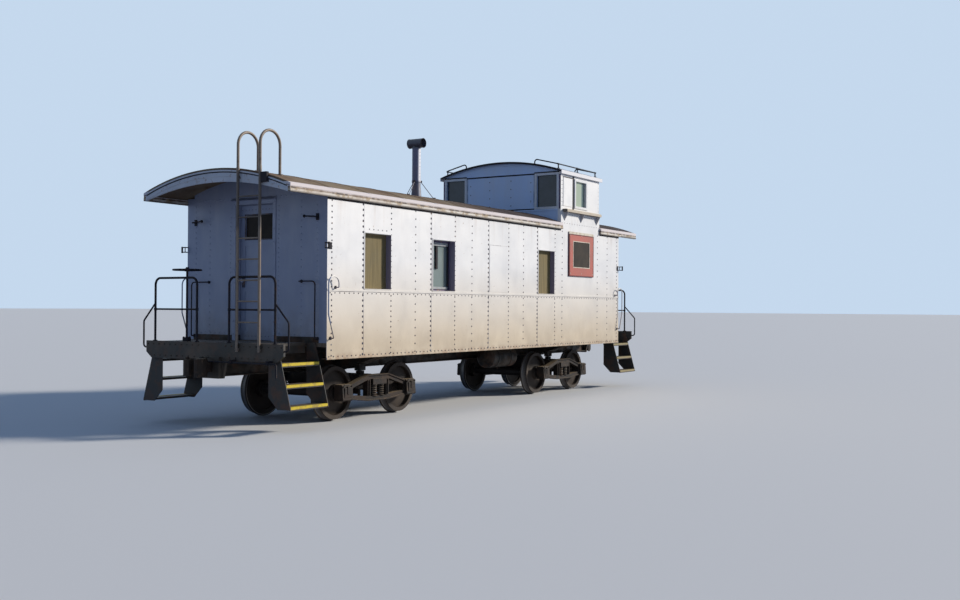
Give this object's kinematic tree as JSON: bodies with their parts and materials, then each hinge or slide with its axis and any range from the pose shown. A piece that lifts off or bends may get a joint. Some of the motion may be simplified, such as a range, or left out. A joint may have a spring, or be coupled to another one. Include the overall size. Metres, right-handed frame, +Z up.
{
  "type": "cupola caboose",
  "caption": "Silver steel cupola caboose on two four-wheel trucks, with open end platforms, ladders, smokejack and boarded windows.",
  "frame": {"origin": "on the floor under the middle of the car, where the wheel flanges stand", "axes": "+X along the car towards the cupola end, +Y to the left, +Z up"},
  "size_m": [12.6892, 3.1, 4.8628],
  "materials": {
    "silver_steel": "aluminium paint on riveted steel, weathered",
    "cream_steel": "cream white paint with rust specks",
    "roof_steel": "weathered roof paint with rust",
    "black_steel": "black underframe paint with dust and rust",
    "deck_steel": "worn black deck paint",
    "step_steel": "black plates with yellow tread edges",
    "cast_steel": "cast steel, black paint and rust",
    "wheel_steel": "rusted steel with worn treads",
    "spring_steel": "dark rusted spring steel",
    "glass": "dusty window glass",
    "plywood": "weathered plywood",
    "floor_wood": "worn floor boards",
    "white_trim": "white painted trim",
    "sign_board": "salmon red border round a charcoal field",
    "galvanised": "galvanised sheet pipe",
    "ladder_paint": "tan paint worn to bare metal",
    "dark_rail": "dark painted tube"
  },
  "bodies": {
    "carbody": {"centre_sill": "black_steel", "body_bolsters": "black_steel", "side_sills": "black_steel", "cross_bearers": "black_steel", "floor": "floor_wood", "platforms": "deck_steel", "steps": "step_steel", "side_wall_left": "silver_steel", "side_wall_right": "silver_steel", "end_walls": "silver_steel", "door_casings": "silver_steel", "hinge_leaves": "silver_steel", "main_roof": "roof_steel", "eave_fascia": "cream_steel", "end_fascia": "silver_steel", "cupola_sides": "silver_steel", "cupola_ends": "silver_steel", "cupola_roof": "silver_steel", "cupola_ledges": "cream_steel", "window_frames": "silver_steel", "window_glass": "glass", "window_boards": "plywood", "cupola_trims": "white_trim", "cupola_glass": "glass", "side_placard": "sign_board", "smokejack": "galvanised", "cupola_handrails": "dark_rail", "end_ladders": "ladder_paint", "ladder_loops": "ladder_paint", "end_railings": "dark_rail", "hand_brakes": "dark_rail", "side_grabs": "silver_steel", "end_grabs": "dark_rail", "marker_brackets": "dark_rail", "couplers": "cast_steel", "coupler_knuckles": "cast_steel", "cut_levers": "dark_rail", "brake_cylinder": "black_steel", "air_reservoir": "black_steel"},
    "door_a": {"door_a": "silver_steel", "door_a_glass": "glass"},
    "door_b": {"door_b": "silver_steel", "door_b_glass": "glass"},
    "truck_a": {"truck_a_side_frames": "cast_steel", "truck_a_bolster": "cast_steel", "truck_a_springs": "spring_steel", "truck_a_brakes": "cast_steel"},
    "wheelset_a1": {"wheelset_a1": "wheel_steel"},
    "wheelset_a2": {"wheelset_a2": "wheel_steel"},
    "truck_b": {"truck_b_side_frames": "cast_steel", "truck_b_bolster": "cast_steel", "truck_b_springs": "spring_steel", "truck_b_brakes": "cast_steel"},
    "wheelset_b1": {"wheelset_b1": "wheel_steel"},
    "wheelset_b2": {"wheelset_b2": "wheel_steel"}
  },
  "joints": [
    {"name": "door_a_hinge", "type": "hinge", "parent": "carbody", "child": "door_a", "pos_m": [-4.866, -0.3825, 2.3], "axis": [0, 0, -1], "range_deg": [0, 90]},
    {"name": "truck_a_swivel", "type": "hinge", "parent": "carbody", "child": "truck_a", "pos_m": [-3.225, 0, 0.69], "axis": [0, 0, 1], "range_deg": [-8, 8]},
    {"name": "wheelset_a1_roll", "type": "hinge", "parent": "truck_a", "child": "wheelset_a1", "pos_m": [-4.063, 0, 0.444], "axis": [0, 1, 0], "continuous": true},
    {"name": "wheelset_a2_roll", "type": "hinge", "parent": "truck_a", "child": "wheelset_a2", "pos_m": [-2.387, 0, 0.444], "axis": [0, 1, 0], "continuous": true},
    {"name": "door_b_hinge", "type": "hinge", "parent": "carbody", "child": "door_b", "pos_m": [4.866, 0.3825, 2.3], "axis": [0, 0, -1], "range_deg": [0, 90]},
    {"name": "truck_b_swivel", "type": "hinge", "parent": "carbody", "child": "truck_b", "pos_m": [3.225, 0, 0.69], "axis": [0, 0, 1], "range_deg": [-8, 8]},
    {"name": "wheelset_b1_roll", "type": "hinge", "parent": "truck_b", "child": "wheelset_b1", "pos_m": [2.387, 0, 0.444], "axis": [0, 1, 0], "continuous": true},
    {"name": "wheelset_b2_roll", "type": "hinge", "parent": "truck_b", "child": "wheelset_b2", "pos_m": [4.063, 0, 0.444], "axis": [0, 1, 0], "continuous": true}
  ]
}
